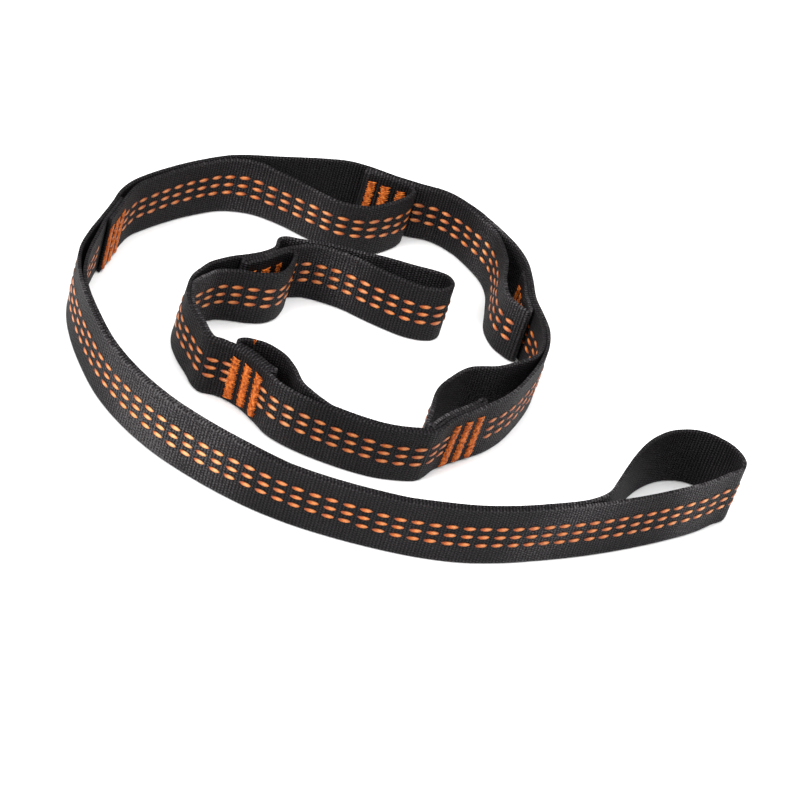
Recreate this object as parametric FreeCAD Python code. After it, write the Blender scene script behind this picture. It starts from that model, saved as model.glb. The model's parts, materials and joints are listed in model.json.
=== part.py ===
import FreeCAD, Part

import bisect
import cmath
import math
import os

# Webbing daisy-chain strap: one long flat webbing folded back on itself and sewn with bar tacks into a row
# of carabiner pockets, with an open anchor loop at one end and a short loop at the other. It stands on the
# edges of its webbing, coiled into a loose spiral that winds clockwise and inward. Millimetres, +Z up.

Vector = FreeCAD.Vector

# Webbing
WEB_WIDTH = 25.0
WEB_THICKNESS = 1.4
LAYER_PITCH = 1.6
HALF = WEB_THICKNESS / 2

# Bar tacks: three bars of thread through three layers
BAR_SPACING = 6.0
BAR_LENGTH = 19.5
BAR_WIDTH = 3.2
BAR_FOOT = 0.8
BAR_PROUD = 0.4
TACK_LAYERS = 3
FOLD_REACH = 8.5
FOLD_RADIUS = 1.05
FOLD_LEAD = 2.5
TURN_REACH = 5.0

# Rows of contrast thread woven into one face
ROW_HEIGHTS = (8.75, 12.5, 16.25)
ROW_WIDTH = 1.8
ROW_PROUD = 0.4
ROW_BITE = 0.1
ROW_MARGIN = 1.5

# Flex lines between the sewn sections
FLEX_GAP = 1.2

# Drawing the curves
CURVE_STEPS = 16
BESIDE_STEP = 3.0
MAX_TURN = math.radians(5)
MAX_RUN = 5.0
MIN_RUN = 0.12
FOLD_STEPS = 6

# The plan's bounding box is centred on this point of the routes below.
PLAN_CENTRE = (-0.55, 10.65)

# Anchor loop, inner layer: its slit below tack A, then beside the outer layer, then the back of the eye
ANCHOR_SLIT = [(-124.9, 8), (-125, 1), (-124.5, -8), (-122.7, -17.5), (-118.7, -27.3)]
ANCHOR_BESIDE = [(-110, -44), (60, -67.3)]
ANCHOR_SPACING = 1.7
EYE_BACK = [
    (75, -54.8), (81.2, -47), (83.4, -39), (85.5, -30), (88, -20.5), (91.2, -11.6), (95.2, -4.6),
    (100.5, 1.4), (106.5, 5), (112.8, 6), (119.2, 4.3), (124.6, 0.2), (127.3, -5),
]

# The load-bearing run: from the tip of the eye, round the whole spiral, to the fold of the end loop
BASE = [
    (126.4, -9.8), (122.9, -13.8), (116.5, -22), (105.1, -33.2), (91.5, -45), (77.6, -55.7),
    (64.2, -64.7), (50.8, -72.9), (37.2, -79.4), (23.3, -83.6), (9.2, -86.1), (-7, -87.7),
    (-23, -88), (-37.9, -86.5), (-51.8, -83.3), (-65.1, -78.8), (-77.6, -73.2), (-91.2, -64.3),
    (-103.5, -52.8), (-114, -38.2), (-121.1, -25.7), (-126, -13.8), (-128.2, -3), (-127.8, 8),
    (-126.4, 19), (-125.1, 30), (-124.3, 39.4), (-121.7, 47.7), (-116.7, 56.3), (-109.1, 66.8),
    (-100.9, 76.3), (-91.8, 85), (-81.5, 91.3), (-67.8, 98.2), (-56.2, 103.9), (-48.1, 107.1),
    (-40, 107.9), (-28, 107.2), (-18.8, 107.8), (-10.5, 109.4), (-4.2, 108.6), (2.2, 105.8),
    (9.5, 101.2), (17.1, 94), (24.6, 86.4), (29.6, 78.7), (33.8, 67.3), (37.3, 55.3), (41.9, 45.9),
    (45.3, 37.8), (46.7, 28.5), (46.1, 18.6), (43.3, 6.2), (39.4, -5.7), (34.1, -15.3),
    (28.6, -21.9), (22.4, -29), (18.3, -34.6), (16, -39.8), (13.6, -43.2), (8.7, -45.7),
    (-1.1, -48.7), (-12, -49.5), (-23.9, -48.9), (-33.8, -47.3), (-41.7, -44.5), (-48.1, -39.2),
    (-54.7, -34.4), (-61.2, -31.9), (-66, -31.5), (-70.2, -32.2), (-73.2, -30.4), (-77.4, -24.6),
    (-82.7, -17.6), (-86.6, -9.8), (-87.8, -1), (-86, 6.4), (-82.4, 12.8), (-77, 18.9),
    (-69.9, 24.9), (-65.2, 29.6), (-62, 35), (-62, 40.7), (-60, 43), (-54.6, 44.3),
    (-47.3, 46.5), (-39.7, 48.2), (-31, 48.9), (-22, 50.4), (-10, 51.2), (-1.2, 52), (3.4, 51.2),
    (5.9, 47.3), (4.1, 43.1), (0.3, 40.8), (-6, 39.5), (-15, 40.4), (-24, 42.2), (-32, 44.2),
    (-40.5, 44.7), (-48.5, 43.7), (-54.4, 39.9), (-57.6, 36.9),
]

# The middle of each tack on the base, and the flex line after it
TACKS = [(-125.4, 27.3), (-31, 107.3), (35.2, 62.2), (24.9, -26.1), (-54.4, -34.5), (-66, 28.8)]
FLEX_LINES = [(-123.3, 43), (-16.5, 108.2), (42.4, 44.9), (5.5, -46.7), (-64.4, -31.6), (-61.7, 37.6)]
END_LOOP_FLEX = (-57.6, 36.9)

# How far past each flex line but the first the pocket's layer still lies against the base
FOLLOWS = [22, 20, 28, 42]

# The free stretch of each pocket's layer: away from the base, over the next tack, and its turn back
POCKETS = [
    [(-119.4, 46.7), (-114.7, 55), (-107.5, 65.4), (-99.5, 74.9), (-90.6, 83), (-78.8, 87.2),
     (-66.5, 86.2), (-54.3, 82.8), (-45, 80.9), (-36, 82.6), (-28, 87.1), (-22.6, 94), (-20.4, 98.5),
     (-20, 101.6), (-21.9, 103.8)],
    [(15.2, 92.2), (19.6, 83.5), (21.4, 72), (22.9, 60), (25.4, 54.2), (28.6, 50), (32, 47.6),
     (34.8, 46.1), (36.6, 46), (37.1, 47.2), (36.3, 49.4)],
    [(43.2, 18.5), (38.3, 12.4), (31.5, 5.3), (21.3, -1), (15.5, -10.6), (12.1, -19.8), (11.5, -30),
     (10.7, -35.8), (10.4, -38), (11.1, -39.5), (12.5, -39.5), (13.1, -38), (14.4, -34.9)],
    [(-34.4, -40.4), (-39.1, -33.8), (-44.3, -28.3), (-51, -25.2), (-56, -25), (-59.8, -25.7),
     (-61.5, -27.3), (-60.2, -28.9)],
    [(-83, 4.4), (-76.5, 12.2), (-70.7, 14.9), (-64.5, 16.8), (-58.9, 19.7), (-55.3, 24.5), (-54, 30),
     (-53.9, 34), (-55, 35.8), (-57.2, 34.7)],
]


def smooth(points):
    """A centripetal Catmull-Rom curve through plan points, which are complex numbers, in short straight steps."""
    ends = [2 * points[0] - points[1], *points, 2 * points[-1] - points[-2]]
    curve = [points[0]]
    for p0, p1, p2, p3 in zip(ends, ends[1:], ends[2:], ends[3:]):
        d0, d1, d2 = (math.sqrt(abs(b - a)) for a, b in ((p0, p1), (p1, p2), (p2, p3)))
        start = d1 * ((p1 - p0) / d0 - (p2 - p0) / (d0 + d1)) + p2 - p1
        end = d1 * ((p3 - p2) / d2 - (p3 - p1) / (d1 + d2)) + p2 - p1
        for i in range(1, CURVE_STEPS + 1):
            t = i / CURVE_STEPS
            blend = (2 * t**3 - 3 * t**2 + 1) * p1 + (3 * t**2 - 2 * t**3) * p2
            curve.append(blend + (t**3 - 2 * t**2 + t) * start + (t**3 - t**2) * end)
    return curve


def plan(points):
    return [complex(*point) for point in points]


class Path:
    """A plan curve with stations along it in millimetres."""

    def __init__(self, curve):
        self.curve = curve
        self.stations = [0.0]
        for a, b in zip(curve, curve[1:]):
            self.stations.append(self.stations[-1] + abs(b - a))
        self.length = self.stations[-1]

    def nearest(self, point):
        point = point if isinstance(point, complex) else complex(*point)
        index = min(range(len(self.curve)), key=lambda i: abs(self.curve[i] - point))
        return self.stations[index]

    def segment(self, station):
        index = bisect.bisect_right(self.stations, station) - 1
        return min(max(index, 0), len(self.curve) - 2)

    def at(self, station):
        i = self.segment(station)
        share = (station - self.stations[i]) / (self.stations[i + 1] - self.stations[i])
        return self.curve[i] + share * (self.curve[i + 1] - self.curve[i])

    def heading(self, station):
        i = self.segment(station)
        step = self.curve[i + 1] - self.curve[i]
        return step / abs(step)

    def inward(self, station, depth):
        """The point beside the path, depth millimetres to its right, where the inside of the spiral is."""
        return self.at(station) - 1j * depth * self.heading(station)

    def beside(self, start, end, depth):
        """Evenly spaced points beside the path, from one station to another, in either direction."""
        count = max(2, round(abs(end - start) / BESIDE_STEP))
        return [self.inward(start + (end - start) * i / count, depth) for i in range(count + 1)]

    def cut(self, start, end):
        """The stretch of the curve between two stations."""
        inside = [p for p, s in zip(self.curve, self.stations) if start < s < end]
        return [self.at(start), *inside, self.at(end)]


def thin_out(curve):
    """Only the points that the curve needs: closer together where it turns."""
    kept = [curve[0]]
    heading = curve[1] - curve[0]
    for a, b, c in zip(curve, curve[1:], curve[2:]):
        turn = abs(cmath.phase((c - b) / heading))
        if abs(b - kept[-1]) > MIN_RUN and (turn > MAX_TURN or abs(c - kept[-1]) > MAX_RUN):
            kept.append(b)
            heading = c - b
    kept.append(curve[-1])
    return kept


def sides(curve, near, far):
    """The outline of a ribbon whose faces lie near and far to the left of the curve."""
    left = []
    right = []
    for i, point in enumerate(curve):
        before = curve[max(i - 1, 0)]
        after = curve[min(i + 1, len(curve) - 1)]
        normal = 1j * (after - before) / abs(after - before)
        left.append(point + far * normal)
        right.append(point + near * normal)
    return well_spaced(left) + well_spaced(right)[::-1]


def well_spaced(points):
    kept = [points[0]]
    for point in points[1:]:
        if abs(point - kept[-1]) > MIN_RUN:
            kept.append(point)
    kept[-1] = points[-1]
    return kept


def prism(outline, bottom, height):
    corners = [Vector(p.real - PLAN_CENTRE[0], p.imag - PLAN_CENTRE[1], bottom) for p in outline]
    face = Part.Face(Part.makePolygon([*corners, corners[0]]))
    return face.extrude(Vector(0, 0, height))


def webbing(curve):
    return prism(sides(thin_out(curve), -HALF, HALF), 0, WEB_WIDTH)


def thread_rows(curve, side):
    """Three thin strips along one face of a webbing. side is 1 for its left face and -1 for its right one."""
    near = side * (HALF - ROW_BITE)
    far = side * (HALF + ROW_PROUD)
    outline = sides(thin_out(curve), near, far)
    return [prism(outline, height - ROW_WIDTH / 2, ROW_WIDTH) for height in ROW_HEIGHTS]


def bar_tack(base, middle):
    """Three bars of thread that go through a sewn stack of layers and stand proud of both its faces."""
    depth = TACK_LAYERS * LAYER_PITCH
    bars = []
    for offset in (-BAR_SPACING, 0, BAR_SPACING):
        station = middle + offset
        along = base.heading(station) * BAR_WIDTH / 2
        outer = base.inward(station, -HALF - BAR_PROUD)
        inner = base.inward(station, depth - LAYER_PITCH + HALF + BAR_PROUD)
        outline = [outer - along, outer + along, inner + along, inner - along]
        bars.append(prism(outline, BAR_FOOT, BAR_LENGTH))
    return bars


def fold(base, station):
    """The half turn where a returning layer goes under itself, at the near end of a tack."""
    centre = base.inward(station, LAYER_PITCH + FOLD_RADIUS)
    start = base.inward(station, LAYER_PITCH + 2 * FOLD_RADIUS) - centre
    return [centre + start * cmath.rect(1, -math.pi * i / FOLD_STEPS) for i in range(FOLD_STEPS)]


def load_bearing_run():
    """The webbing's first pass: sewn end in tack A, anchor loop, base of every pocket, end loop, tack F."""
    outer = Path(smooth(plan(BASE)))
    first = outer.nearest(TACKS[0])
    last = outer.nearest(TACKS[-1])
    sewn_end = outer.beside(first + FOLD_REACH - 1, first - FOLD_REACH, LAYER_PITCH)
    closed = [outer.nearest(point) for point in ANCHOR_BESIDE]
    inner = plan(ANCHOR_SLIT) + outer.beside(*closed, ANCHOR_SPACING) + plan(EYE_BACK)
    tucked_end = outer.beside(last + TURN_REACH, last, LAYER_PITCH)
    return Path(smooth(sewn_end + inner + plan(BASE) + tucked_end))


def pocket_run(base, tacks, flexes):
    """The webbing's second pass: from its end in tack A, out and back at every tack, to the end loop."""
    points = base.beside(tacks[0] - FOLD_REACH, tacks[0] + FOLD_REACH - 1, 2 * LAYER_PITCH)
    tuck_ends = [flex + follow for flex, follow in zip(flexes[1:], FOLLOWS)]
    tuck_ends.append(tacks[-1] + TURN_REACH)
    for free, tack, tuck_end in zip(POCKETS, tacks[1:], tuck_ends):
        points += plan(free)
        points += base.beside(tack + TURN_REACH, tack - FOLD_REACH + FOLD_LEAD, 2 * LAYER_PITCH)
        points += fold(base, tack - FOLD_REACH)
        points += base.beside(tack - FOLD_REACH, tuck_end, LAYER_PITCH)
    points.append(complex(*END_LOOP_FLEX))
    points.append(complex(*BASE[-2]))
    return Path(smooth(points))


def export(name, solids):
    Part.makeCompound(solids).exportStep(f"parts/{name}.step")


def main():
    os.makedirs("parts", exist_ok=True)
    base = load_bearing_run()
    tacks = [base.nearest(point) for point in TACKS]
    flexes = [base.nearest(point) for point in FLEX_LINES]
    pocket = pocket_run(base, tacks, flexes)
    edge = FLEX_GAP / 2
    loop_end = base.nearest(END_LOOP_FLEX) - edge
    crossings = [pocket.nearest(base.inward(flexes[0], 2 * LAYER_PITCH))]
    crossings += [pocket.nearest(base.inward(flex, LAYER_PITCH)) for flex in flexes[1:-1]]
    crossings.append(pocket.nearest(END_LOOP_FLEX))

    export("anchor_loop_webbing", [webbing(base.cut(0, flexes[0] - edge))])
    export("pocket_webbing_start", [webbing(pocket.cut(0, crossings[0] - edge))])
    rows = base.cut(2 * FOLD_REACH, tacks[0] - FOLD_REACH)
    export("anchor_loop_threads", thread_rows(rows, 1))
    export("bar_tack_a", bar_tack(base, tacks[0]))
    for i, letter in enumerate("bcdef", start=1):
        start = flexes[i - 1] + edge
        export(f"base_webbing_{i}", [webbing(base.cut(start, flexes[i] - edge))])
        rows = base.cut(start + ROW_MARGIN, tacks[i] - FOLD_REACH)
        export(f"base_threads_{i}", thread_rows(rows, 1))
        start = crossings[i - 1] + edge
        export(f"pocket_webbing_{i}", [webbing(pocket.cut(start, crossings[i] - edge))])
        rows = pocket.cut(start + ROW_MARGIN, pocket.nearest(POCKETS[i - 1][-4]))
        export(f"pocket_threads_{i}", thread_rows(rows, -1))
        export(f"bar_tack_{letter}", bar_tack(base, tacks[i]))
    export("end_loop_webbing", [webbing(base.cut(flexes[-1] + edge, loop_end))])
    rows = base.cut(flexes[-1] + edge + ROW_MARGIN, loop_end - ROW_MARGIN)
    export("end_loop_threads", thread_rows(rows, 1))


main()
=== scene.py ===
import bisect
import cmath
import json
import math

import bpy
from mathutils import Matrix, Vector


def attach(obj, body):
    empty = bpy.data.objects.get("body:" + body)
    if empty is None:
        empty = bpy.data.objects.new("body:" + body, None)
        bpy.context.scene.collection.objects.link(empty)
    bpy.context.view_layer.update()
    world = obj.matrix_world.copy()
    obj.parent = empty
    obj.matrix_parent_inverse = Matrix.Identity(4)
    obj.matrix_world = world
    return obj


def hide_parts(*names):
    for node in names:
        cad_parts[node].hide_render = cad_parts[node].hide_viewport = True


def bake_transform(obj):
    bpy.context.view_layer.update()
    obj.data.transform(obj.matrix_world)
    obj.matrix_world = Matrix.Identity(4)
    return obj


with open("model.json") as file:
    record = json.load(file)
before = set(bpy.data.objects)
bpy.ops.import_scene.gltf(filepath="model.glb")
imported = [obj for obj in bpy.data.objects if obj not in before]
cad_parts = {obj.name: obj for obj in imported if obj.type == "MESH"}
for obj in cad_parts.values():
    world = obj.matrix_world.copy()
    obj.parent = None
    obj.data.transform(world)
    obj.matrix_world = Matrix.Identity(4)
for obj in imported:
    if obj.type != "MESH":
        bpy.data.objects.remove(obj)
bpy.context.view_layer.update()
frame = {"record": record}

# Routes and sizes are in millimetres, as in the CAD, and every mesh is made in metres.
MM = 0.001
PLAN_CENTRE = complex(-0.55, 10.65)
WEB_WIDTH = 25.0
HALF = 0.7
LAYER_PITCH = 1.6
SELVAGE = 1.2
FOLD_REACH = 8.5
FOLD_RADIUS = 1.05
FOLD_LEAD = 2.5
TURN_REACH = 5.0
FOLD_STEPS = 6
CURVE_STEPS = 16
BESIDE_STEP = 3.0
SIDE_REACH = 0.3
SHARP_TURN = math.radians(12)

# The webbing's edge: distance from the middle of its thickness, and height, from the foot up one face
EDGE = [(0.3, 0), (0.6, 0.2), (0.7, 0.8)]
FACE_HEIGHTS = (4.5, 8.5, 12.5, 16.5, 20.5)
WEB_STEP = 0.5
SCALLOP_EVERY = 3
SCALLOP = 0.16

# Dashes of contrast thread. Each starts DASH_SINK under the face, over a hidden root DASH_ROOT under it, and strays
# by up to DASH_SHIFT along the webbing and DASH_DRIFT across it.
ROW_HEIGHTS = (8.75, 12.5, 16.25)
DASH_PITCH = 6.12
DASH_LENGTH = 4.5
DASH_HEIGHT = 2.1
DASH_PROUD = 0.42
DASH_TILT = 0.05
DASH_SINK = 0.06
DASH_ROOT = 0.3
DASH_SHIFT = 0.12
DASH_DRIFT = 0.08
DASH_ALONG = 10
DASH_ACROSS = 4
ANCHOR_PHASE = 0.7
BASE_PHASE = 1.6
POCKET_PHASES = (2.1, 2.7, 2.7, 3.0, 3.2)
END_LOOP_PHASE = 4.0

# Bar tacks. No dashes are made within BAR_CLEAR of a tack's middle.
BAR_SPACING = 6.0
BAR_FOOT = 1.0
BAR_TOP = 20.4
BAR_WIDTH = 3.3
BAR_CLEAR = 8.0
STRAND_PITCH = 0.42
STRAND_RADIUS = 0.32
STRAND_SLANT = 0.3
STRAND_PROUD = 0.3
STRAND_UNEVEN = 0.05
STRAND_SHIFT = 0.18
STRAND_RAGGED = (0.3, 0.22)
STRAND_SIDES = 6
STRAND_TIP = 0.7

# Pitches of the weave in metres, as in the UV map
RIB_PITCH = 0.00125
WARP_PITCH = 0.0011

# A flex line's direction is the strap's own heading, except at these flex lines, where it is listed here. bend()
# works it out but bends nothing with it.
BEND_DIRECTIONS = {4: complex(-0.8, 0.6), 5: complex(0.5, 0.87)}

ANCHOR_SLIT = [(-124.9, 8), (-125, 1), (-124.5, -8), (-122.7, -17.5), (-118.7, -27.3)]
ANCHOR_BESIDE = [(-110, -44), (60, -67.3)]
ANCHOR_SPACING = 1.7
EYE_BACK = [
    (75, -54.8), (81.2, -47), (83.4, -39), (85.5, -30), (88, -20.5), (91.2, -11.6), (95.2, -4.6),
    (100.5, 1.4), (106.5, 5), (112.8, 6), (119.2, 4.3), (124.6, 0.2), (127.3, -5),
]
BASE = [
    (126.4, -9.8), (122.9, -13.8), (116.5, -22), (105.1, -33.2), (91.5, -45), (77.6, -55.7),
    (64.2, -64.7), (50.8, -72.9), (37.2, -79.4), (23.3, -83.6), (9.2, -86.1), (-7, -87.7),
    (-23, -88), (-37.9, -86.5), (-51.8, -83.3), (-65.1, -78.8), (-77.6, -73.2), (-91.2, -64.3),
    (-103.5, -52.8), (-114, -38.2), (-121.1, -25.7), (-126, -13.8), (-128.2, -3), (-127.8, 8),
    (-126.4, 19), (-125.1, 30), (-124.3, 39.4), (-121.7, 47.7), (-116.7, 56.3), (-109.1, 66.8),
    (-100.9, 76.3), (-91.8, 85), (-81.5, 91.3), (-67.8, 98.2), (-56.2, 103.9), (-48.1, 107.1),
    (-40, 107.9), (-28, 107.2), (-18.8, 107.8), (-10.5, 109.4), (-4.2, 108.6), (2.2, 105.8),
    (9.5, 101.2), (17.1, 94), (24.6, 86.4), (29.6, 78.7), (33.8, 67.3), (37.3, 55.3), (41.9, 45.9),
    (45.3, 37.8), (46.7, 28.5), (46.1, 18.6), (43.3, 6.2), (39.4, -5.7), (34.1, -15.3),
    (28.6, -21.9), (22.4, -29), (18.3, -34.6), (16, -39.8), (13.6, -43.2), (8.7, -45.7),
    (-1.1, -48.7), (-12, -49.5), (-23.9, -48.9), (-33.8, -47.3), (-41.7, -44.5), (-48.1, -39.2),
    (-54.7, -34.4), (-61.2, -31.9), (-66, -31.5), (-70.2, -32.2), (-73.2, -30.4), (-77.4, -24.6),
    (-82.7, -17.6), (-86.6, -9.8), (-87.8, -1), (-86, 6.4), (-82.4, 12.8), (-77, 18.9),
    (-69.9, 24.9), (-65.2, 29.6), (-62, 35), (-62, 40.7), (-60, 43), (-54.6, 44.3),
    (-47.3, 46.5), (-39.7, 48.2), (-31, 48.9), (-22, 50.4), (-10, 51.2), (-1.2, 52), (3.4, 51.2),
    (5.9, 47.3), (4.1, 43.1), (0.3, 40.8), (-6, 39.5), (-15, 40.4), (-24, 42.2), (-32, 44.2),
    (-40.5, 44.7), (-48.5, 43.7), (-54.4, 39.9), (-57.6, 36.9),
]
TACKS = [(-125.4, 27.3), (-31, 107.3), (35.2, 62.2), (24.9, -26.1), (-54.4, -34.5), (-66, 28.8)]
FLEX_LINES = [(-123.3, 43), (-16.5, 108.2), (42.4, 44.9), (5.5, -46.7), (-64.4, -31.6), (-61.7, 37.6)]
END_LOOP_FLEX = (-57.6, 36.9)
FOLLOWS = [22, 20, 28, 42]
POCKETS = [
    [(-119.4, 46.7), (-114.7, 55), (-107.5, 65.4), (-99.5, 74.9), (-90.6, 83), (-78.8, 87.2),
     (-66.5, 86.2), (-54.3, 82.8), (-45, 80.9), (-36, 82.6), (-28, 87.1), (-22.6, 94), (-20.4, 98.5),
     (-20, 101.6), (-21.9, 103.8)],
    [(15.2, 92.2), (19.6, 83.5), (21.4, 72), (22.9, 60), (25.4, 54.2), (28.6, 50), (32, 47.6),
     (34.8, 46.1), (36.6, 46), (37.1, 47.2), (36.3, 49.4)],
    [(43.2, 18.5), (38.3, 12.4), (31.5, 5.3), (21.3, -1), (15.5, -10.6), (12.1, -19.8), (11.5, -30),
     (10.7, -35.8), (10.4, -38), (11.1, -39.5), (12.5, -39.5), (13.1, -38), (14.4, -34.9)],
    [(-34.4, -40.4), (-39.1, -33.8), (-44.3, -28.3), (-51, -25.2), (-56, -25), (-59.8, -25.7),
     (-61.5, -27.3), (-60.2, -28.9)],
    [(-83, 4.4), (-76.5, 12.2), (-70.7, 14.9), (-64.5, 16.8), (-58.9, 19.7), (-55.3, 24.5), (-54, 30),
     (-53.9, 34), (-55, 35.8), (-57.2, 34.7)],
]

# Where the upright webbing leans: a place, how far its top edge leans there, and how far around that reaches
LEANS = [
    ((-72, 85.8), (0, -2.8), 5), ((-60, 84), (0, -3.4), 6),
    ((-48, 81.3), (0, -3.6), 6), ((-37, 82.5), (0.4, -3), 5),
    ((-10, 108.5), (0, -1.3), 6), ((0, 106), (-0.6, -1.3), 6), ((9, 101), (-0.6, -0.8), 6),
    ((21.5, 72), (2, 0), 6), ((22.5, 61), (1.8, 0), 6),
    ((24, -27), (1.2, -0.9), 6), ((16.5, -38), (1.9, -1.1), 6), ((6, -46.5), (0.8, -2), 7),
    ((-8, -49.3), (0, -1.9), 8), ((-22, -49), (0, -1.2), 8), ((-34, -47), (-0.2, -0.8), 6),
    ((-44, -42.5), (-0.6, -0.8), 6), ((-54, -35), (-0.8, -1.8), 6), ((-63, -31.8), (0, -1.5), 5),
    ((-25, -87), (0, -1.4), 10), ((-8, -87), (0, -1.6), 10), ((9, -86), (0, -1.4), 10),
    ((106, 5), (0, -0.6), 6), ((114, 6), (0, -0.6), 6),
    ((-87.5, -6), (1.5, 0), 7), ((-86.5, 5), (1.2, -0.6), 6),
    ((-75, 13), (0.6, -1.8), 3.5), ((-66, 16.5), (0.6, -1.9), 4), ((-58, 21), (1.2, -1.2), 4),
]

# Where the stitches sit higher on the webbing: a place, how much higher, and how far around that reaches
LIFTS = [
    ((-38, -86.5), 0.9, 9), ((-23, -88), 0.9, 9), ((-7, -87.7), 0.8, 8),
    ((-12, -49), 0.9, 8), ((-24, -49), 1.0, 7), ((-36, -46), 1.1, 7), ((-54, -34.5), 0.9, 6),
    ((24, -26), 0.4, 6), ((-31, 107), 1.0, 6),
    ((-107, 65), 0.4, 7), ((-99, 75), 0.8, 7), ((-90, 83), 0.6, 7),
    ((-54, 83), 0.8, 6), ((-45, 81), 1.1, 6), ((-36, 82.6), 1.0, 6), ((-28, 87), 0.6, 6),
    ((12, 94), 0.8, 5), ((19, 84), 0.9, 5), ((-76, 13), 0.8, 4), ((-66, 17), 0.8, 5),
]

# Where a grey sheen is painted on the webbing and on its stitches: a place, how much, and how far around that
# reaches
PAINTED_SHEENS = [
    ((-99, -57), 0.25, 8), ((-88, -66), 0.6, 8), ((-75, -74), 0.9, 8), ((-62, -80), 0.9, 8),
    ((-50, -84), 0.5, 7),
    ((112, -26), 0.6, 8), ((122, -14), 0.4, 6), ((-54, 83), 0.5, 8), ((13, 93), 0.7, 5),
    ((-40, -45), 0.6, 7), ((-30, 49), 0.4, 6), ((-84, 4), 0.4, 6),
]

# A loose end of thread stands up from the fold at tack E.
TUFT = (-55.8, -26.6)
TUFT_THICKNESS = 0.15

# The camera stands where the strap's own proportions put it, aimed at the middle of the routes.
CAMERA_ELEVATION = math.radians(36.756)
CAMERA_ROLL = math.radians(17.84)
CAMERA_DISTANCE = 1066.3
CAMERA_LENS = 128.9
SENSOR_WIDTH = 36
WORLD_STRENGTH = 0.35
FLOOR_REACH = 3
FLOOR_HEIGHT = -0.0003


def smooth(points):
    """A centripetal Catmull-Rom curve through plan points, which are complex numbers, in short straight steps."""
    ends = [2 * points[0] - points[1], *points, 2 * points[-1] - points[-2]]
    curve = [points[0]]
    for p0, p1, p2, p3 in zip(ends, ends[1:], ends[2:], ends[3:]):
        d0, d1, d2 = (math.sqrt(abs(b - a)) for a, b in ((p0, p1), (p1, p2), (p2, p3)))
        start = d1 * ((p1 - p0) / d0 - (p2 - p0) / (d0 + d1)) + p2 - p1
        end = d1 * ((p3 - p2) / d2 - (p3 - p1) / (d1 + d2)) + p2 - p1
        for i in range(1, CURVE_STEPS + 1):
            t = i / CURVE_STEPS
            blend = (2 * t**3 - 3 * t**2 + 1) * p1 + (3 * t**2 - 2 * t**3) * p2
            curve.append(blend + (t**3 - 2 * t**2 + t) * start + (t**3 - t**2) * end)
    return curve


def plan(points):
    """Pairs of plan coordinates as complex numbers."""
    return [complex(*point) for point in points]


class Path:
    """A plan curve with stations along it in millimetres."""

    def __init__(self, curve):
        self.curve = curve
        self.stations = [0.0]
        for a, b in zip(curve, curve[1:]):
            self.stations.append(self.stations[-1] + abs(b - a))
        self.length = self.stations[-1]

    def nearest(self, point):
        """The station of the curve's vertex nearest to a plan point."""
        point = point if isinstance(point, complex) else complex(*point)
        index = min(range(len(self.curve)), key=lambda i: abs(self.curve[i] - point))
        return self.stations[index]

    def segment(self, station):
        """The index of the straight step that holds a station."""
        index = bisect.bisect_right(self.stations, station) - 1
        return min(max(index, 0), len(self.curve) - 2)

    def at(self, station):
        i = self.segment(station)
        share = (station - self.stations[i]) / (self.stations[i + 1] - self.stations[i])
        return self.curve[i] + share * (self.curve[i + 1] - self.curve[i])

    def heading(self, station):
        i = self.segment(station)
        step = self.curve[i + 1] - self.curve[i]
        return step / abs(step)

    def inward(self, station, depth):
        """The point at a depth to the right of the path."""
        return self.at(station) - 1j * depth * self.heading(station)

    def beside(self, start, end, depth):
        """Points at a depth to the right, from one station to another."""
        count = max(2, round(abs(end - start) / BESIDE_STEP))
        return [self.inward(start + (end - start) * i / count, depth) for i in range(count + 1)]


def fold(base, station):
    """The tight turn beside a tack, where the pocket layer folds back under itself."""
    centre = base.inward(station, LAYER_PITCH + FOLD_RADIUS)
    start = base.inward(station, LAYER_PITCH + 2 * FOLD_RADIUS) - centre
    return [centre + start * cmath.rect(1, -math.pi * i / FOLD_STEPS) for i in range(FOLD_STEPS)]


def load_bearing_run():
    """The route of the long webbing, from the end sewn in tack A to the end tucked in tack F."""
    outer = Path(smooth(plan(BASE)))
    first = outer.nearest(TACKS[0])
    last = outer.nearest(TACKS[-1])
    sewn_end = outer.beside(first + FOLD_REACH - 1, first - FOLD_REACH, LAYER_PITCH)
    closed = [outer.nearest(point) for point in ANCHOR_BESIDE]
    inner = plan(ANCHOR_SLIT) + outer.beside(*closed, ANCHOR_SPACING) + plan(EYE_BACK)
    tucked_end = outer.beside(last + TURN_REACH, last, LAYER_PITCH)
    return Path(smooth(sewn_end + inner + plan(BASE) + tucked_end))


def pocket_run(base, tacks, flexes):
    """The route of the second layer, which bulges into a pocket between each two tacks."""
    points = base.beside(tacks[0] - FOLD_REACH, tacks[0] + FOLD_REACH - 1, 2 * LAYER_PITCH)
    tuck_ends = [flex + follow for flex, follow in zip(flexes[1:], FOLLOWS)]
    tuck_ends.append(tacks[-1] + TURN_REACH)
    for free, tack, tuck_end in zip(POCKETS, tacks[1:], tuck_ends):
        points += plan(free)
        points += base.beside(tack + TURN_REACH, tack - FOLD_REACH + FOLD_LEAD, 2 * LAYER_PITCH)
        points += fold(base, tack - FOLD_REACH)
        points += base.beside(tack - FOLD_REACH, tuck_end, LAYER_PITCH)
    points.append(complex(*END_LOOP_FLEX))
    points.append(complex(*BASE[-2]))
    return Path(smooth(points))


def spread(table, point, zero):
    """The values of a table of places, shared out at a plan point by how near each place is, or zero far away."""
    total = zero
    weights = 0.0
    for place, value, reach in table:
        distance = abs(point - complex(*place)) / reach
        if distance < 4:
            weight = math.exp(-distance * distance / 2)
            total += weight * (complex(*value) if isinstance(value, tuple) else value)
            weights += weight
    return total / max(weights, 1)


def row_point(point, height):
    """A plan point at a height, in millimetres, as a place in the row's frame in metres."""
    moved = point + spread(LEANS, point, 0j) * height / WEB_WIDTH - PLAN_CENTRE
    return Vector((moved.real * MM, moved.imag * MM, height * MM))


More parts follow.
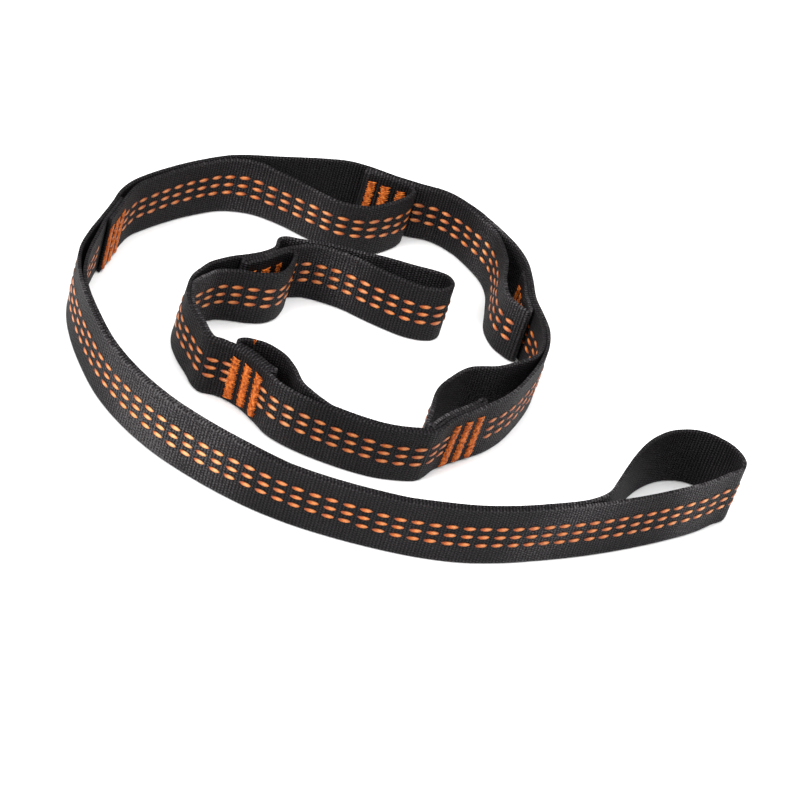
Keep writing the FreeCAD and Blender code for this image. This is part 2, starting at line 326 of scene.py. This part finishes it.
def new_mesh(name, points, faces, uvs, material):
    """An object from vertices, faces and one UV place per vertex. Faces share vertices, and shade smooth."""
    mesh = bpy.data.meshes.new(name)
    mesh.from_pydata(points, [], faces)
    layer = mesh.uv_layers.new(name="along")
    for loop in mesh.loops:
        layer.data[loop.index].uv = uvs[loop.vertex_index]
    mesh.polygons.foreach_set("use_smooth", [True] * len(mesh.polygons))
    mesh.materials.append(material)
    piece = bpy.data.objects.new(name, mesh)
    bpy.context.scene.collection.objects.link(piece)
    return piece


def side_direction(path, station):
    """The direction to the left of a path, averaged over a short stretch."""
    ahead = path.at(min(station + SIDE_REACH, path.length))
    behind = path.at(max(station - SIDE_REACH, 0))
    return 1j * (ahead - behind) / abs(ahead - behind)


def web_stations(path, start, end):
    """Even steps, a whole number of them, with more where the path turns sharply."""
    count = round((end - start) / WEB_STEP)
    even = [start + (end - start) * i / count for i in range(count + 1)]
    stations = []
    for i, (a, b) in enumerate(zip(even, even[1:])):
        stations.append((a, i))
        turn = abs(cmath.phase(side_direction(path, b) / side_direction(path, a)))
        extra = int(turn / SHARP_TURN)
        stations += [(a + (b - a) * k / (extra + 1), i) for k in range(1, extra + 1)]
    stations.append((end, count))
    return stations


def store_painted_sheen(piece, painted_sheen):
    """Stores the painted sheen at each vertex, for the materials."""
    piece.data.attributes.new("painted_sheen", "FLOAT", "POINT").data.foreach_set("value", painted_sheen)


def webbing(name, path, start, end, material):
    """A closed ribbon of webbing that stands on its edge along part of a path, with a scalloped selvage."""
    face = EDGE + [(HALF, height) for height in FACE_HEIGHTS]
    face += [(t, WEB_WIDTH - z) for t, z in EDGE[::-1]]
    profile = face + [(-t, z) for t, z in face[::-1]]
    points = []
    uvs = []
    painted_sheen = []
    for station, step in web_stations(path, start, end):
        centre = path.at(station)
        left = side_direction(path, station)
        notch = SCALLOP if step % SCALLOP_EVERY == 0 else 0
        for t, z in profile:
            depth = notch if abs(t) < HALF else 0
            height = min(max(z, depth), WEB_WIDTH - depth)
            points.append(row_point(centre + t * left, height))
            uvs.append((station * MM, z * MM))
            # The painted sheen at this place
            painted_sheen.append(spread(PAINTED_SHEENS, centre, 0.0))
    n = len(profile)
    rings = len(points) // n
    faces = []
    for r in range(rings - 1):
        for k in range(n):
            faces.append((r * n + k, r * n + (k + 1) % n, (r + 1) * n + (k + 1) % n, (r + 1) * n + k))
    faces.append(tuple(range(n))[::-1])
    faces.append(tuple(range((rings - 1) * n, rings * n)))
    piece = new_mesh(name, points, faces, uvs, material)
    store_painted_sheen(piece, painted_sheen)
    return piece


def add_dash(path, side, middle, height, wobble, points, uvs, faces):
    """Adds one lens-shaped stitch: a raised grid on the webbing's face, closed over a line under the face."""
    first = len(points)
    for i in range(DASH_ALONG + 1):
        u = -1 + 2 * i / DASH_ALONG
        station = middle + u * DASH_LENGTH / 2
        centre = path.at(station)
        left = side_direction(path, station)
        half_height = DASH_HEIGHT / 2 * (1 - 0.97 * abs(u) ** 2.2) ** 0.6
        for k in range(DASH_ACROSS + 1):
            v = -1 + 2 * k / DASH_ACROSS
            rise = DASH_PROUD * (1 - 0.85 * u**4) * math.sqrt(1 - 0.9 * v * v)
            tilt = -side * DASH_TILT * u * DASH_LENGTH / 2
            z = height + v * half_height + tilt + DASH_DRIFT * wobble
            points.append(row_point(centre + side * (HALF - DASH_SINK + rise) * left, z))
            uvs.append((u, v))
    low = len(points)
    for i in range(DASH_ALONG + 1):
        u = -1 + 2 * i / DASH_ALONG
        station = middle + u * DASH_LENGTH / 2
        left = side_direction(path, station)
        points.append(row_point(path.at(station) + side * (HALF - DASH_ROOT) * left, height))
        uvs.append((u, 0))
    n = DASH_ACROSS + 1
    for i in range(DASH_ALONG):
        for k in range(DASH_ACROSS):
            a = first + i * n + k
            faces.append((a, a + 1, a + n + 1, a + n))
        a = first + i * n
        b = a + DASH_ACROSS
        faces.append((low + i, a, a + n, low + i + 1))
        faces.append((b, low + i, low + i + 1, b + n))
    faces.append(tuple(first + k for k in range(n))[::-1] + (low,))
    faces.append(tuple(first + DASH_ALONG * n + k for k in range(n)) + (low + DASH_ALONG,))


def dashes(name, path, start, end, side, phase, material, barred=()):
    """Rows of stitches on one face of the webbing, and none under the bars of a tack. phase is where the columns
    fall on the path, and barred lists the tacks' stations."""
    points = []
    uvs = []
    painted_sheen = []
    faces = []
    first_column = math.ceil((start + DASH_LENGTH / 2 - phase) / DASH_PITCH)
    last_column = math.floor((end - DASH_LENGTH / 2 - phase) / DASH_PITCH)
    for column in range(first_column, last_column + 1):
        for row, height in enumerate(ROW_HEIGHTS):
            wobble = math.sin(column * 2.7 + row * 1.9)
            middle = column * DASH_PITCH + phase + DASH_SHIFT * wobble
            if any(abs(middle - station) < BAR_CLEAR for station in barred):
                continue
            lifted = height + spread(LIFTS, path.at(middle), 0.0)
            add_dash(path, side, middle, lifted, wobble, points, uvs, faces)
            # The painted sheen at this stitch's place, once for each of its vertices
            painted_sheen += [spread(PAINTED_SHEENS, path.at(middle), 0.0)] * (len(points) - len(painted_sheen))
    if side > 0:
        faces = [face[::-1] for face in faces]
    piece = new_mesh(name, points, faces, uvs, material)
    store_painted_sheen(piece, painted_sheen)
    return piece


def strand(points, faces, uvs, line, up, out):
    """Adds a strand with a flattened round section along a line of row-frame points."""
    first = len(points)
    steps = len(line) - 1
    for i, centre in enumerate(line):
        taper = STRAND_TIP if i in (0, steps) else 1
        for k in range(STRAND_SIDES):
            angle = 2 * math.pi * k / STRAND_SIDES
            points.append(centre + taper * (math.cos(angle) * up + math.sin(angle) * out))
            uvs.append((i / steps, k / STRAND_SIDES))
    for i in range(steps):
        ring = first + i * STRAND_SIDES
        for k in range(STRAND_SIDES):
            a = ring + k
            b = ring + (k + 1) % STRAND_SIDES
            faces.append((a, b, b + STRAND_SIDES, a + STRAND_SIDES))
    faces.append(tuple(first + k for k in range(STRAND_SIDES))[::-1])
    faces.append(tuple(first + steps * STRAND_SIDES + k for k in range(STRAND_SIDES)))


def bar_tack(name, base, middle, material, tuft=None):
    """Three bars of zigzag stitches that show on both faces of a sewn stack, and perhaps a loose end of thread."""
    points = []
    faces = []
    uvs = []
    count = round((BAR_TOP - BAR_FOOT) / STRAND_PITCH)
    up = Vector((0, 0, STRAND_RADIUS * MM))
    foot = BAR_FOOT + spread(LIFTS, base.at(middle), 0.0)
    for bar in (-1, 0, 1):
        station = middle + bar * BAR_SPACING
        along = base.heading(station)
        for face_depth, outward in ((-HALF, -1), (2 * LAYER_PITCH + HALF, 1)):
            normal = -1j * outward * along
            out = Vector((normal.real, normal.imag, 0)) * STRAND_RADIUS * MM
            for i in range(count):
                slow, fast = STRAND_RAGGED
                ragged = slow * math.sin(i * 2.3 + bar * 1.7) + fast * math.sin(i * 5.1)
                half_width = BAR_WIDTH / 2 + ragged
                slant = STRAND_SLANT * (1 if i % 2 else -1)
                shift = STRAND_SHIFT * math.sin(i * 3.1 + bar)
                line = []
                for u in (-1, -0.5, 0, 0.5, 1):
                    proud = STRAND_PROUD * (1 - u * u) + STRAND_UNEVEN * math.sin(i * 3.7)
                    face_place = base.inward(station, face_depth + outward * proud)
                    place = face_place + along * (u * half_width + shift)
                    line.append(row_point(place, foot + STRAND_PITCH * i + slant * u))
                strand(points, faces, uvs, line, up, out)
    if tuft:
        thick = TUFT_THICKNESS * Vector((MM, 0, 0))
        deep = TUFT_THICKNESS * Vector((0, MM, 0))
        for lean_out in (-0.4, 0.6):
            line = []
            for k in range(4):
                line.append(row_point(complex(*tuft) + lean_out * (k / 3) ** 2, WEB_WIDTH - 1 + 0.8 * k))
            strand(points, faces, uvs, line, thick, deep)
    return new_mesh(name, points, faces, uvs, material)


# Materials


def nodes_for(name):
    """A new material with its node tree and its shader."""
    material = bpy.data.materials.new(name)
    material.use_nodes = True
    tree = material.node_tree
    return material, tree, tree.nodes["Principled BSDF"]


def math_node(tree, operation, a, b=None):
    """The result of a maths node whose inputs are numbers or other nodes' outputs."""
    node = tree.nodes.new("ShaderNodeMath")
    node.operation = operation
    for socket, value in zip(node.inputs, (a, b)):
        if value is None:
            continue
        if isinstance(value, (int, float)):
            socket.default_value = value
        else:
            tree.links.new(value, socket)
    return node.outputs[0]


def plus(tree, a, b):
    return math_node(tree, "ADD", a, b)


def times(tree, a, b):
    return math_node(tree, "MULTIPLY", a, b)


def ramp(tree, factor, stops):
    """The colour of a ramp from its stops, which are a position and a colour each."""
    node = tree.nodes.new("ShaderNodeValToRGB")
    tree.links.new(factor, node.inputs["Fac"])
    elements = node.color_ramp.elements
    while len(elements) < len(stops):
        elements.new(0.5)
    for element, (position, colour) in zip(elements, stops):
        element.position = position
        element.color = (*colour, 1)
    return node.outputs["Color"]


def multiplied(tree, a, b):
    """One colour times another."""
    node = tree.nodes.new("ShaderNodeMix")
    node.data_type = "RGBA"
    node.blend_type = "MULTIPLY"
    node.inputs["Factor"].default_value = 1.0
    tree.links.new(a, node.inputs["A"])
    tree.links.new(b, node.inputs["B"])
    return node.outputs["Result"]


def along_across(tree):
    """The stored UV place, and its two coordinates."""
    place = tree.nodes.new("ShaderNodeUVMap")
    place.uv_map = "along"
    parts = tree.nodes.new("ShaderNodeSeparateXYZ")
    tree.links.new(place.outputs["UV"], parts.inputs[0])
    return place.outputs["UV"], parts.outputs["X"], parts.outputs["Y"]


def stored_painted_sheen(tree):
    """The painted sheen on the surface, as store_painted_sheen kept it."""
    node = tree.nodes.new("ShaderNodeAttribute")
    node.attribute_name = "painted_sheen"
    return node.outputs["Fac"]


def noise(tree, place, scale, detail=3.0):
    node = tree.nodes.new("ShaderNodeTexNoise")
    node.inputs["Scale"].default_value = scale
    node.inputs["Detail"].default_value = detail
    tree.links.new(place, node.inputs["Vector"])
    return node.outputs["Fac"]


def bump(tree, height, distance, strength):
    node = tree.nodes.new("ShaderNodeBump")
    node.inputs["Distance"].default_value = distance
    node.inputs["Strength"].default_value = strength
    tree.links.new(height, node.inputs["Height"])
    return node.outputs["Normal"]


def web_material():
    """Black polyester webbing: cross ribs about a millimetre apart, with fine warp threads over them, and lighter
    grey speckle that is partly random wear and partly painted sheen.
    """
    material, tree, shader = nodes_for("black_webbing")
    place, along, across = along_across(tree)
    pick = math_node(tree, "SINE", times(tree, along, math.pi / RIB_PITCH))
    ribs = math_node(tree, "ABSOLUTE", pick)
    warp_place = times(tree, across, 2 * math.pi / WARP_PITCH)
    warp = math_node(tree, "SINE", plus(tree, warp_place, times(tree, pick, 1.6)))
    grain = noise(tree, place, 900.0)
    weave = plus(tree, ribs, times(tree, warp, 0.35))
    weave = plus(tree, weave, times(tree, grain, 0.8))
    patches = noise(tree, place, 45.0, 4.0)
    # Lighter grey speckle: random worn patches from noise, plus painted sheen where the stored sheen puts it.
    wear_and_sheen = math_node(tree, "SUBTRACT", noise(tree, place, 18.0, 1.0), 0.45)
    wear_and_sheen = math_node(tree, "MAXIMUM", times(tree, wear_and_sheen, 5.0), 0.0)
    wear_and_sheen = plus(tree, times(tree, wear_and_sheen, 0.6), stored_painted_sheen(tree))
    fine = math_node(tree, "SUBTRACT", noise(tree, place, 1500.0, 1.0), 0.3)
    wear_and_sheen_speckle = times(tree, wear_and_sheen, times(tree, fine, 2.0))
    edge = math_node(tree, "ABSOLUTE", math_node(tree, "SUBTRACT", across, WEB_WIDTH / 2 * MM))
    selvage = math_node(tree, "GREATER_THAN", edge, (WEB_WIDTH / 2 - SELVAGE) * MM)
    shade = plus(tree, times(tree, weave, 0.3), times(tree, patches, 0.3))
    shade = plus(tree, shade, times(tree, wear_and_sheen_speckle, 0.75))
    shade = plus(tree, shade, times(tree, selvage, 0.1))
    colour = ramp(tree, shade, [
        (0.2, (0.0008, 0.0005, 0.0007)), (0.48, (0.0042, 0.0034, 0.0041)),
        (0.72, (0.02, 0.0178, 0.0194)), (1.0, (0.08, 0.075, 0.078)),
    ])
    tree.links.new(colour, shader.inputs["Base Color"])
    rough = plus(tree, 0.5, times(tree, patches, 0.2))
    tree.links.new(rough, shader.inputs["Roughness"])
    tree.links.new(bump(tree, weave, 0.0005, 1.0), shader.inputs["Normal"])
    shader.inputs["Specular IOR Level"].default_value = 0.13
    return material


def dash_material():
    """Orange polyester thread, with a painted highlight a little before the middle of each stitch and painted shade
    along its rim.
    """
    material, tree, shader = nodes_for("orange_stitches")
    place, along, across = along_across(tree)
    # Painted highlight: the colour is palest a little before each stitch's middle and darkens towards its ends,
    # with a random mottle.
    off_middle = math_node(tree, "POWER", plus(tree, along, 0.3), 2.0)
    mottle = noise(tree, place, 3.0)
    # No wear on the thread: this is the painted sheen stored on each vertex, and a fixed lift.
    wear_and_sheen = plus(tree, times(tree, stored_painted_sheen(tree), 0.3), 0.08)
    painted_highlight_and_mottle = math_node(tree, "SUBTRACT", plus(tree, mottle, wear_and_sheen), times(tree, off_middle, 0.6))
    colour = ramp(tree, painted_highlight_and_mottle, [
        (0.1, (0.3, 0.052, 0.004)), (0.45, (0.54, 0.125, 0.012)), (0.9, (0.92, 0.45, 0.18)),
    ])
    # Painted shade: the colour darkens along each stitch's rim.
    painted_rim_shade = ramp(tree, math_node(tree, "ABSOLUTE", across), [(0.5, (1, 1, 1)), (0.95, (0.1, 0.06, 0.045))])
    tree.links.new(multiplied(tree, colour, painted_rim_shade), shader.inputs["Base Color"])
    strands = math_node(tree, "SINE", times(tree, across, 14.0))
    tree.links.new(bump(tree, strands, 0.00012, 0.7), shader.inputs["Normal"])
    shader.inputs["Roughness"].default_value = 0.33
    shader.inputs["Specular IOR Level"].default_value = 0.4
    return material


def tack_material():
    """The same thread in dense zigzag stitches, darker between the strands."""
    material, tree, shader = nodes_for("orange_tack_thread")
    place = tree.nodes.new("ShaderNodeTexCoord").outputs["Object"]
    mottle = noise(tree, place, 900.0)
    colour = ramp(tree, mottle, [
        (0.32, (0.17, 0.026, 0.002)), (0.5, (0.54, 0.11, 0.009)), (0.72, (0.8, 0.25, 0.05)),
    ])
    tree.links.new(colour, shader.inputs["Base Color"])
    tree.links.new(bump(tree, noise(tree, place, 2200.0), 0.0003, 0.9), shader.inputs["Normal"])
    shader.inputs["Roughness"].default_value = 0.5
    shader.inputs["Specular IOR Level"].default_value = 0.2
    return material


# The strap

base = load_bearing_run()
tacks = [base.nearest(point) for point in TACKS]
flexes = [base.nearest(point) for point in FLEX_LINES]
pocket = pocket_run(base, tacks, flexes)
pocket_tacks = [0.0]
pocket_tacks += [pocket.nearest(base.inward(tack, LAYER_PITCH)) for tack in tacks[1:]]

bodies = list(frame["record"]["behaviour"]["bodies"])

WEB = web_material()
DASH = dash_material()
TACK = tack_material()


def bend(piece, i):
    """Bakes a piece's placement into its mesh. It works out the direction and place of flex line i, but bends
    nothing.
    """
    direction = BEND_DIRECTIONS.get(i, base.heading(flexes[i]))
    flex = base.at(flexes[i]) - PLAN_CENTRE
    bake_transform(piece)


floor_mesh = bpy.data.meshes.new("floor")
corners = [(-FLOOR_REACH, -FLOOR_REACH), (FLOOR_REACH, -FLOOR_REACH)]
corners += [(FLOOR_REACH, FLOOR_REACH), (-FLOOR_REACH, FLOOR_REACH)]
floor_mesh.from_pydata([(x, y, FLOOR_HEIGHT) for x, y in corners], [], [(0, 1, 2, 3)])
floor = bpy.data.objects.new("floor", floor_mesh)
bpy.context.scene.collection.objects.link(floor)
paper, paper_tree, paper_shader = nodes_for("white_floor")
paper_shader.inputs["Base Color"].default_value = (0.93, 0.93, 0.93, 1)
paper_shader.inputs["Roughness"].default_value = 0.9
floor_mesh.materials.append(paper)

anchor = webbing("anchor_loop_strap", base, 0, tacks[0], WEB)
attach(anchor, "anchor_loop")
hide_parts("anchor_loop_webbing")

anchor_dashes = dashes("anchor_loop_dashes", base, 2 * FOLD_REACH, tacks[0], 1, ANCHOR_PHASE, DASH, tacks)
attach(anchor_dashes, "anchor_loop")
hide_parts("anchor_loop_threads")

for i in range(1, len(tacks)):
    piece = webbing(f"base_strap_{i}", base, tacks[i - 1], tacks[i], WEB)
    bend(piece, i - 1)
    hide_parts(f"base_webbing_{i}")

    piece = dashes(f"base_dashes_{i}", base, tacks[i - 1], tacks[i], 1, BASE_PHASE, DASH, tacks)
    bend(piece, i - 1)
    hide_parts(f"base_threads_{i}")

    piece = webbing(f"pocket_strap_{i}", pocket, pocket_tacks[i - 1], pocket_tacks[i], WEB)
    bend(piece, i - 1)
    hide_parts(f"pocket_webbing_{i}")
    if i == 1:
        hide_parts("pocket_webbing_start")

    turn = pocket.nearest(POCKETS[i - 1][-2])
    clear = DASH_PITCH / 2 if i == 1 else pocket_tacks[i - 1] + TURN_REACH + 2
    piece = dashes(f"pocket_dashes_{i}", pocket, clear, turn, -1, POCKET_PHASES[i - 1], DASH)
    bend(piece, i - 1)
    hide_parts(f"pocket_threads_{i}")

end_piece = webbing("end_loop_strap", base, tacks[5], base.length, WEB)
bend(end_piece, 5)
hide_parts("end_loop_webbing")

loop_end = base.nearest(END_LOOP_FLEX)
end_dashes = dashes("end_loop_dashes", base, tacks[5], loop_end, 1, END_LOOP_PHASE, DASH, tacks)
bend(end_dashes, 5)
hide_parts("end_loop_threads")

for i, letter in enumerate("abcdef"):
    piece = bar_tack(f"tack_{letter}", base, tacks[i], TACK, TUFT if letter == "e" else None)
    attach(piece, bodies[i])
    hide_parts(f"bar_tack_{letter}")


# Light and camera


def area_light(name, place, size, power, target=(0, 0, 0)):
    """A square lamp that faces its target."""
    light = bpy.data.lights.new(name, "AREA")
    light.shape = "SQUARE"
    light.size = size
    light.energy = power
    lamp = bpy.data.objects.new(name, light)
    lamp.location = place
    lamp.rotation_euler = (Vector(target) - Vector(place)).to_track_quat("-Z", "Y").to_euler()
    bpy.context.scene.collection.objects.link(lamp)


area_light("key", (-0.9, -0.9, 0.8), size=0.6, power=22)
area_light("fill", (0.9, -0.5, 0.8), size=0.8, power=6)
area_light("top", (0.0, 0.1, 1.5), size=1.6, power=38)

world = bpy.data.worlds.new("studio")
world.use_nodes = True
backdrop = world.node_tree.nodes["Background"]
backdrop.inputs["Color"].default_value = (1, 1, 1, 1)
backdrop.inputs["Strength"].default_value = WORLD_STRENGTH
bpy.context.scene.world = world
bpy.context.scene.view_settings.view_transform = "Standard"

camera_data = bpy.data.cameras.new("camera")
camera_data.lens = CAMERA_LENS
camera_data.sensor_width = SENSOR_WIDTH
camera = bpy.data.objects.new("camera", camera_data)
e, r = CAMERA_ELEVATION, CAMERA_ROLL
right = Vector((math.cos(r), math.sin(r) * math.sin(e), math.sin(r) * math.cos(e)))
up = Vector((-math.sin(r), math.cos(r) * math.sin(e), math.cos(r) * math.cos(e)))
back = Vector((0, -math.cos(e), math.sin(e)))
turned = Matrix((right, up, back)).transposed().to_4x4()
centre = Vector((-PLAN_CENTRE.real, -PLAN_CENTRE.imag, 0))
camera.matrix_world = Matrix.Translation((centre + back * CAMERA_DISTANCE) * MM) @ turned
bpy.context.scene.collection.objects.link(camera)
bpy.context.scene.camera = camera
